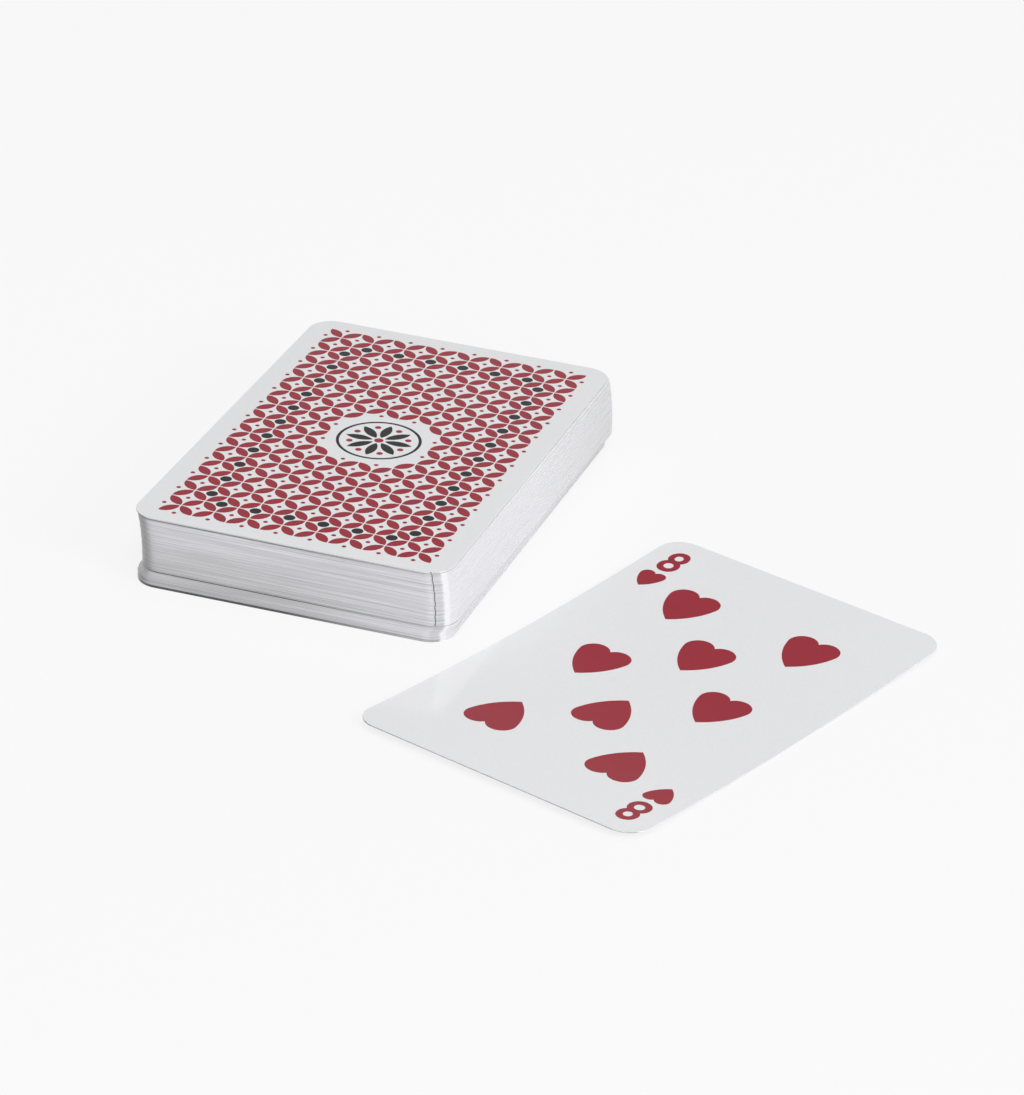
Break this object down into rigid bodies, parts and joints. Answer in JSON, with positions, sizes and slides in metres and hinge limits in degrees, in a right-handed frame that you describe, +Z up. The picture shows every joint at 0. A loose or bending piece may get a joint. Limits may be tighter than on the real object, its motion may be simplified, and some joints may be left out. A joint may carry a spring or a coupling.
{
  "type": "playing card deck",
  "caption": "Deck of glossy playing cards in bridge format: a hand-squared face-down stack with one face-up card beside it; every card is its own body",
  "frame": {"origin": "middle of the bottom card's underside, on the table", "axes": "+X across the stacked cards, +Y along them to the far end, +Z up through the stack"},
  "size_m": [0.1359, 0.1371, 0.0135],
  "materials": {
    "coated_card": "white laminated card with a gloss varnish and printed faces"
  },
  "bodies": {
    "black_joker": {"black_joker": "coated_card"},
    "red_joker": {"red_joker": "coated_card"},
    "ace_of_spades": {"ace_of_spades": "coated_card"},
    "two_of_spades": {"two_of_spades": "coated_card"},
    "three_of_spades": {"three_of_spades": "coated_card"},
    "four_of_spades": {"four_of_spades": "coated_card"},
    "five_of_spades": {"five_of_spades": "coated_card"},
    "six_of_spades": {"six_of_spades": "coated_card"},
    "seven_of_spades": {"seven_of_spades": "coated_card"},
    "eight_of_spades": {"eight_of_spades": "coated_card"},
    "nine_of_spades": {"nine_of_spades": "coated_card"},
    "ten_of_spades": {"ten_of_spades": "coated_card"},
    "jack_of_spades": {"jack_of_spades": "coated_card"},
    "queen_of_spades": {"queen_of_spades": "coated_card"},
    "king_of_spades": {"king_of_spades": "coated_card"},
    "ace_of_hearts": {"ace_of_hearts": "coated_card"},
    "two_of_hearts": {"two_of_hearts": "coated_card"},
    "three_of_hearts": {"three_of_hearts": "coated_card"},
    "four_of_hearts": {"four_of_hearts": "coated_card"},
    "five_of_hearts": {"five_of_hearts": "coated_card"},
    "six_of_hearts": {"six_of_hearts": "coated_card"},
    "seven_of_hearts": {"seven_of_hearts": "coated_card"},
    "nine_of_hearts": {"nine_of_hearts": "coated_card"},
    "ten_of_hearts": {"ten_of_hearts": "coated_card"},
    "jack_of_hearts": {"jack_of_hearts": "coated_card"},
    "queen_of_hearts": {"queen_of_hearts": "coated_card"},
    "king_of_hearts": {"king_of_hearts": "coated_card"},
    "ace_of_clubs": {"ace_of_clubs": "coated_card"},
    "two_of_clubs": {"two_of_clubs": "coated_card"},
    "three_of_clubs": {"three_of_clubs": "coated_card"},
    "four_of_clubs": {"four_of_clubs": "coated_card"},
    "five_of_clubs": {"five_of_clubs": "coated_card"},
    "six_of_clubs": {"six_of_clubs": "coated_card"},
    "seven_of_clubs": {"seven_of_clubs": "coated_card"},
    "eight_of_clubs": {"eight_of_clubs": "coated_card"},
    "nine_of_clubs": {"nine_of_clubs": "coated_card"},
    "ten_of_clubs": {"ten_of_clubs": "coated_card"},
    "jack_of_clubs": {"jack_of_clubs": "coated_card"},
    "queen_of_clubs": {"queen_of_clubs": "coated_card"},
    "king_of_clubs": {"king_of_clubs": "coated_card"},
    "ace_of_diamonds": {"ace_of_diamonds": "coated_card"},
    "two_of_diamonds": {"two_of_diamonds": "coated_card"},
    "three_of_diamonds": {"three_of_diamonds": "coated_card"},
    "four_of_diamonds": {"four_of_diamonds": "coated_card"},
    "five_of_diamonds": {"five_of_diamonds": "coated_card"},
    "six_of_diamonds": {"six_of_diamonds": "coated_card"},
    "seven_of_diamonds": {"seven_of_diamonds": "coated_card"},
    "eight_of_diamonds": {"eight_of_diamonds": "coated_card"},
    "nine_of_diamonds": {"nine_of_diamonds": "coated_card"},
    "ten_of_diamonds": {"ten_of_diamonds": "coated_card"},
    "jack_of_diamonds": {"jack_of_diamonds": "coated_card"},
    "queen_of_diamonds": {"queen_of_diamonds": "coated_card"},
    "king_of_diamonds": {"king_of_diamonds": "coated_card"},
    "eight_of_hearts": {"eight_of_hearts": "coated_card"}
  },
  "joints": [
    {"name": "fan_red_joker", "type": "hinge", "parent": "black_joker", "child": "red_joker", "pos_m": [-0.0245, 0.0395, 0], "axis": [0, 0, 1], "range_deg": [0, 3]},
    {"name": "fan_ace_of_spades", "type": "hinge", "parent": "black_joker", "child": "ace_of_spades", "pos_m": [-0.0245, 0.0395, 0], "axis": [0, 0, 1], "range_deg": [0, 6]},
    {"name": "fan_two_of_spades", "type": "hinge", "parent": "black_joker", "child": "two_of_spades", "pos_m": [-0.0245, 0.0395, 0], "axis": [0, 0, 1], "range_deg": [0, 9]},
    {"name": "fan_three_of_spades", "type": "hinge", "parent": "black_joker", "child": "three_of_spades", "pos_m": [-0.0245, 0.0395, 0], "axis": [0, 0, 1], "range_deg": [0, 12]},
    {"name": "fan_four_of_spades", "type": "hinge", "parent": "black_joker", "child": "four_of_spades", "pos_m": [-0.0245, 0.0395, 0], "axis": [0, 0, 1], "range_deg": [0, 15]},
    {"name": "fan_five_of_spades", "type": "hinge", "parent": "black_joker", "child": "five_of_spades", "pos_m": [-0.0245, 0.0395, 0], "axis": [0, 0, 1], "range_deg": [0, 18]},
    {"name": "fan_six_of_spades", "type": "hinge", "parent": "black_joker", "child": "six_of_spades", "pos_m": [-0.0245, 0.0395, 0], "axis": [0, 0, 1], "range_deg": [0, 21]},
    {"name": "fan_seven_of_spades", "type": "hinge", "parent": "black_joker", "child": "seven_of_spades", "pos_m": [-0.0245, 0.0395, 0], "axis": [0, 0, 1], "range_deg": [0, 24]},
    {"name": "fan_eight_of_spades", "type": "hinge", "parent": "black_joker", "child": "eight_of_spades", "pos_m": [-0.0245, 0.0395, 0], "axis": [0, 0, 1], "range_deg": [0, 27]},
    {"name": "fan_nine_of_spades", "type": "hinge", "parent": "black_joker", "child": "nine_of_spades", "pos_m": [-0.0245, 0.0395, 0], "axis": [0, 0, 1], "range_deg": [0, 30]},
    {"name": "fan_ten_of_spades", "type": "hinge", "parent": "black_joker", "child": "ten_of_spades", "pos_m": [-0.0245, 0.0395, 0], "axis": [0, 0, 1], "range_deg": [0, 33]},
    {"name": "fan_jack_of_spades", "type": "hinge", "parent": "black_joker", "child": "jack_of_spades", "pos_m": [-0.0245, 0.0395, 0], "axis": [0, 0, 1], "range_deg": [0, 36]},
    {"name": "fan_queen_of_spades", "type": "hinge", "parent": "black_joker", "child": "queen_of_spades", "pos_m": [-0.0245, 0.0395, 0], "axis": [0, 0, 1], "range_deg": [0, 39]},
    {"name": "fan_king_of_spades", "type": "hinge", "parent": "black_joker", "child": "king_of_spades", "pos_m": [-0.0245, 0.0395, 0], "axis": [0, 0, 1], "range_deg": [0, 42]},
    {"name": "fan_ace_of_hearts", "type": "hinge", "parent": "black_joker", "child": "ace_of_hearts", "pos_m": [-0.0245, 0.0395, 0], "axis": [0, 0, 1], "range_deg": [0, 45]},
    {"name": "fan_two_of_hearts", "type": "hinge", "parent": "black_joker", "child": "two_of_hearts", "pos_m": [-0.0245, 0.0395, 0], "axis": [0, 0, 1], "range_deg": [0, 48]},
    {"name": "fan_three_of_hearts", "type": "hinge", "parent": "black_joker", "child": "three_of_hearts", "pos_m": [-0.0245, 0.0395, 0], "axis": [0, 0, 1], "range_deg": [0, 51]},
    {"name": "fan_four_of_hearts", "type": "hinge", "parent": "black_joker", "child": "four_of_hearts", "pos_m": [-0.0245, 0.0395, 0], "axis": [0, 0, 1], "range_deg": [0, 54]},
    {"name": "fan_five_of_hearts", "type": "hinge", "parent": "black_joker", "child": "five_of_hearts", "pos_m": [-0.0245, 0.0395, 0], "axis": [0, 0, 1], "range_deg": [0, 57]},
    {"name": "fan_six_of_hearts", "type": "hinge", "parent": "black_joker", "child": "six_of_hearts", "pos_m": [-0.0245, 0.0395, 0], "axis": [0, 0, 1], "range_deg": [0, 60]},
    {"name": "fan_seven_of_hearts", "type": "hinge", "parent": "black_joker", "child": "seven_of_hearts", "pos_m": [-0.0245, 0.0395, 0], "axis": [0, 0, 1], "range_deg": [0, 63]},
    {"name": "fan_nine_of_hearts", "type": "hinge", "parent": "black_joker", "child": "nine_of_hearts", "pos_m": [-0.0245, 0.0395, 0], "axis": [0, 0, 1], "range_deg": [0, 66]},
    {"name": "fan_ten_of_hearts", "type": "hinge", "parent": "black_joker", "child": "ten_of_hearts", "pos_m": [-0.0245, 0.0395, 0], "axis": [0, 0, 1], "range_deg": [0, 69]},
    {"name": "fan_jack_of_hearts", "type": "hinge", "parent": "black_joker", "child": "jack_of_hearts", "pos_m": [-0.0245, 0.0395, 0], "axis": [0, 0, 1], "range_deg": [0, 72]},
    {"name": "fan_queen_of_hearts", "type": "hinge", "parent": "black_joker", "child": "queen_of_hearts", "pos_m": [-0.0245, 0.0395, 0], "axis": [0, 0, 1], "range_deg": [0, 75]},
    {"name": "fan_king_of_hearts", "type": "hinge", "parent": "black_joker", "child": "king_of_hearts", "pos_m": [-0.0245, 0.0395, 0], "axis": [0, 0, 1], "range_deg": [0, 78]},
    {"name": "fan_ace_of_clubs", "type": "hinge", "parent": "black_joker", "child": "ace_of_clubs", "pos_m": [-0.0245, 0.0395, 0], "axis": [0, 0, 1], "range_deg": [0, 81]},
    {"name": "fan_two_of_clubs", "type": "hinge", "parent": "black_joker", "child": "two_of_clubs", "pos_m": [-0.0245, 0.0395, 0], "axis": [0, 0, 1], "range_deg": [0, 84]},
    {"name": "fan_three_of_clubs", "type": "hinge", "parent": "black_joker", "child": "three_of_clubs", "pos_m": [-0.0245, 0.0395, 0], "axis": [0, 0, 1], "range_deg": [0, 87]},
    {"name": "fan_four_of_clubs", "type": "hinge", "parent": "black_joker", "child": "four_of_clubs", "pos_m": [-0.0245, 0.0395, 0], "axis": [0, 0, 1], "range_deg": [0, 90]},
    {"name": "fan_five_of_clubs", "type": "hinge", "parent": "black_joker", "child": "five_of_clubs", "pos_m": [-0.0245, 0.0395, 0], "axis": [0, 0, 1], "range_deg": [0, 93]},
    {"name": "fan_six_of_clubs", "type": "hinge", "parent": "black_joker", "child": "six_of_clubs", "pos_m": [-0.0245, 0.0395, 0], "axis": [0, 0, 1], "range_deg": [0, 96]},
    {"name": "fan_seven_of_clubs", "type": "hinge", "parent": "black_joker", "child": "seven_of_clubs", "pos_m": [-0.0245, 0.0395, 0], "axis": [0, 0, 1], "range_deg": [0, 99]},
    {"name": "fan_eight_of_clubs", "type": "hinge", "parent": "black_joker", "child": "eight_of_clubs", "pos_m": [-0.0245, 0.0395, 0], "axis": [0, 0, 1], "range_deg": [0, 102]},
    {"name": "fan_nine_of_clubs", "type": "hinge", "parent": "black_joker", "child": "nine_of_clubs", "pos_m": [-0.0245, 0.0395, 0], "axis": [0, 0, 1], "range_deg": [0, 105]},
    {"name": "fan_ten_of_clubs", "type": "hinge", "parent": "black_joker", "child": "ten_of_clubs", "pos_m": [-0.0245, 0.0395, 0], "axis": [0, 0, 1], "range_deg": [0, 108]},
    {"name": "fan_jack_of_clubs", "type": "hinge", "parent": "black_joker", "child": "jack_of_clubs", "pos_m": [-0.0245, 0.0395, 0], "axis": [0, 0, 1], "range_deg": [0, 111]},
    {"name": "fan_queen_of_clubs", "type": "hinge", "parent": "black_joker", "child": "queen_of_clubs", "pos_m": [-0.0245, 0.0395, 0], "axis": [0, 0, 1], "range_deg": [0, 114]},
    {"name": "fan_king_of_clubs", "type": "hinge", "parent": "black_joker", "child": "king_of_clubs", "pos_m": [-0.0245, 0.0395, 0], "axis": [0, 0, 1], "range_deg": [0, 117]},
    {"name": "fan_ace_of_diamonds", "type": "hinge", "parent": "black_joker", "child": "ace_of_diamonds", "pos_m": [-0.0245, 0.0395, 0], "axis": [0, 0, 1], "range_deg": [0, 120]},
    {"name": "fan_two_of_diamonds", "type": "hinge", "parent": "black_joker", "child": "two_of_diamonds", "pos_m": [-0.0245, 0.0395, 0], "axis": [0, 0, 1], "range_deg": [0, 123]},
    {"name": "fan_three_of_diamonds", "type": "hinge", "parent": "black_joker", "child": "three_of_diamonds", "pos_m": [-0.0245, 0.0395, 0], "axis": [0, 0, 1], "range_deg": [0, 126]},
    {"name": "fan_four_of_diamonds", "type": "hinge", "parent": "black_joker", "child": "four_of_diamonds", "pos_m": [-0.0245, 0.0395, 0], "axis": [0, 0, 1], "range_deg": [0, 129]},
    {"name": "fan_five_of_diamonds", "type": "hinge", "parent": "black_joker", "child": "five_of_diamonds", "pos_m": [-0.0245, 0.0395, 0], "axis": [0, 0, 1], "range_deg": [0, 132]},
    {"name": "fan_six_of_diamonds", "type": "hinge", "parent": "black_joker", "child": "six_of_diamonds", "pos_m": [-0.0245, 0.0395, 0], "axis": [0, 0, 1], "range_deg": [0, 135]},
    {"name": "fan_seven_of_diamonds", "type": "hinge", "parent": "black_joker", "child": "seven_of_diamonds", "pos_m": [-0.0245, 0.0395, 0], "axis": [0, 0, 1], "range_deg": [0, 138]},
    {"name": "fan_eight_of_diamonds", "type": "hinge", "parent": "black_joker", "child": "eight_of_diamonds", "pos_m": [-0.0245, 0.0395, 0], "axis": [0, 0, 1], "range_deg": [0, 141]},
    {"name": "fan_nine_of_diamonds", "type": "hinge", "parent": "black_joker", "child": "nine_of_diamonds", "pos_m": [-0.0245, 0.0395, 0], "axis": [0, 0, 1], "range_deg": [0, 144]},
    {"name": "fan_ten_of_diamonds", "type": "hinge", "parent": "black_joker", "child": "ten_of_diamonds", "pos_m": [-0.0245, 0.0395, 0], "axis": [0, 0, 1], "range_deg": [0, 147]},
    {"name": "fan_jack_of_diamonds", "type": "hinge", "parent": "black_joker", "child": "jack_of_diamonds", "pos_m": [-0.0245, 0.0395, 0], "axis": [0, 0, 1], "range_deg": [0, 150]},
    {"name": "fan", "type": "hinge", "parent": "black_joker", "child": "queen_of_diamonds", "pos_m": [-0.0245, 0.0395, 0], "axis": [0, 0, 1], "range_deg": [0, 153]},
    {"name": "deal_top_card", "type": "slide", "parent": "queen_of_diamonds", "child": "king_of_diamonds", "axis": [1, 0, 0], "range_m": [0, 0.065]},
    {"name": "turn_over", "type": "hinge", "parent": "black_joker", "child": "eight_of_hearts", "pos_m": [0.05215, -0.08477, 0.00077], "axis": [0.9472, -0.3206, 0], "range_deg": [0, 180]}
  ],
  "couplings": [
    {"joint": "fan_red_joker", "follows": "fan", "ratio": 0.019608},
    {"joint": "fan_ace_of_spades", "follows": "fan", "ratio": 0.039216},
    {"joint": "fan_two_of_spades", "follows": "fan", "ratio": 0.058824},
    {"joint": "fan_three_of_spades", "follows": "fan", "ratio": 0.078431},
    {"joint": "fan_four_of_spades", "follows": "fan", "ratio": 0.098039},
    {"joint": "fan_five_of_spades", "follows": "fan", "ratio": 0.11765},
    {"joint": "fan_six_of_spades", "follows": "fan", "ratio": 0.13725},
    {"joint": "fan_seven_of_spades", "follows": "fan", "ratio": 0.15686},
    {"joint": "fan_eight_of_spades", "follows": "fan", "ratio": 0.17647},
    {"joint": "fan_nine_of_spades", "follows": "fan", "ratio": 0.19608},
    {"joint": "fan_ten_of_spades", "follows": "fan", "ratio": 0.21569},
    {"joint": "fan_jack_of_spades", "follows": "fan", "ratio": 0.23529},
    {"joint": "fan_queen_of_spades", "follows": "fan", "ratio": 0.2549},
    {"joint": "fan_king_of_spades", "follows": "fan", "ratio": 0.27451},
    {"joint": "fan_ace_of_hearts", "follows": "fan", "ratio": 0.29412},
    {"joint": "fan_two_of_hearts", "follows": "fan", "ratio": 0.31372},
    {"joint": "fan_three_of_hearts", "follows": "fan", "ratio": 0.33333},
    {"joint": "fan_four_of_hearts", "follows": "fan", "ratio": 0.35294},
    {"joint": "fan_five_of_hearts", "follows": "fan", "ratio": 0.37255},
    {"joint": "fan_six_of_hearts", "follows": "fan", "ratio": 0.39216},
    {"joint": "fan_seven_of_hearts", "follows": "fan", "ratio": 0.41176},
    {"joint": "fan_nine_of_hearts", "follows": "fan", "ratio": 0.43137},
    {"joint": "fan_ten_of_hearts", "follows": "fan", "ratio": 0.45098},
    {"joint": "fan_jack_of_hearts", "follows": "fan", "ratio": 0.47059},
    {"joint": "fan_queen_of_hearts", "follows": "fan", "ratio": 0.4902},
    {"joint": "fan_king_of_hearts", "follows": "fan", "ratio": 0.5098},
    {"joint": "fan_ace_of_clubs", "follows": "fan", "ratio": 0.52941},
    {"joint": "fan_two_of_clubs", "follows": "fan", "ratio": 0.54902},
    {"joint": "fan_three_of_clubs", "follows": "fan", "ratio": 0.56863},
    {"joint": "fan_four_of_clubs", "follows": "fan", "ratio": 0.58823},
    {"joint": "fan_five_of_clubs", "follows": "fan", "ratio": 0.60784},
    {"joint": "fan_six_of_clubs", "follows": "fan", "ratio": 0.62745},
    {"joint": "fan_seven_of_clubs", "follows": "fan", "ratio": 0.64706},
    {"joint": "fan_eight_of_clubs", "follows": "fan", "ratio": 0.66667},
    {"joint": "fan_nine_of_clubs", "follows": "fan", "ratio": 0.68627},
    {"joint": "fan_ten_of_clubs", "follows": "fan", "ratio": 0.70588},
    {"joint": "fan_jack_of_clubs", "follows": "fan", "ratio": 0.72549},
    {"joint": "fan_queen_of_clubs", "follows": "fan", "ratio": 0.7451},
    {"joint": "fan_king_of_clubs", "follows": "fan", "ratio": 0.76471},
    {"joint": "fan_ace_of_diamonds", "follows": "fan", "ratio": 0.78431},
    {"joint": "fan_two_of_diamonds", "follows": "fan", "ratio": 0.80392},
    {"joint": "fan_three_of_diamonds", "follows": "fan", "ratio": 0.82353},
    {"joint": "fan_four_of_diamonds", "follows": "fan", "ratio": 0.84314},
    {"joint": "fan_five_of_diamonds", "follows": "fan", "ratio": 0.86274},
    {"joint": "fan_six_of_diamonds", "follows": "fan", "ratio": 0.88235},
    {"joint": "fan_seven_of_diamonds", "follows": "fan", "ratio": 0.90196},
    {"joint": "fan_eight_of_diamonds", "follows": "fan", "ratio": 0.92157},
    {"joint": "fan_nine_of_diamonds", "follows": "fan", "ratio": 0.94118},
    {"joint": "fan_ten_of_diamonds", "follows": "fan", "ratio": 0.96078},
    {"joint": "fan_jack_of_diamonds", "follows": "fan", "ratio": 0.98039}
  ]
}
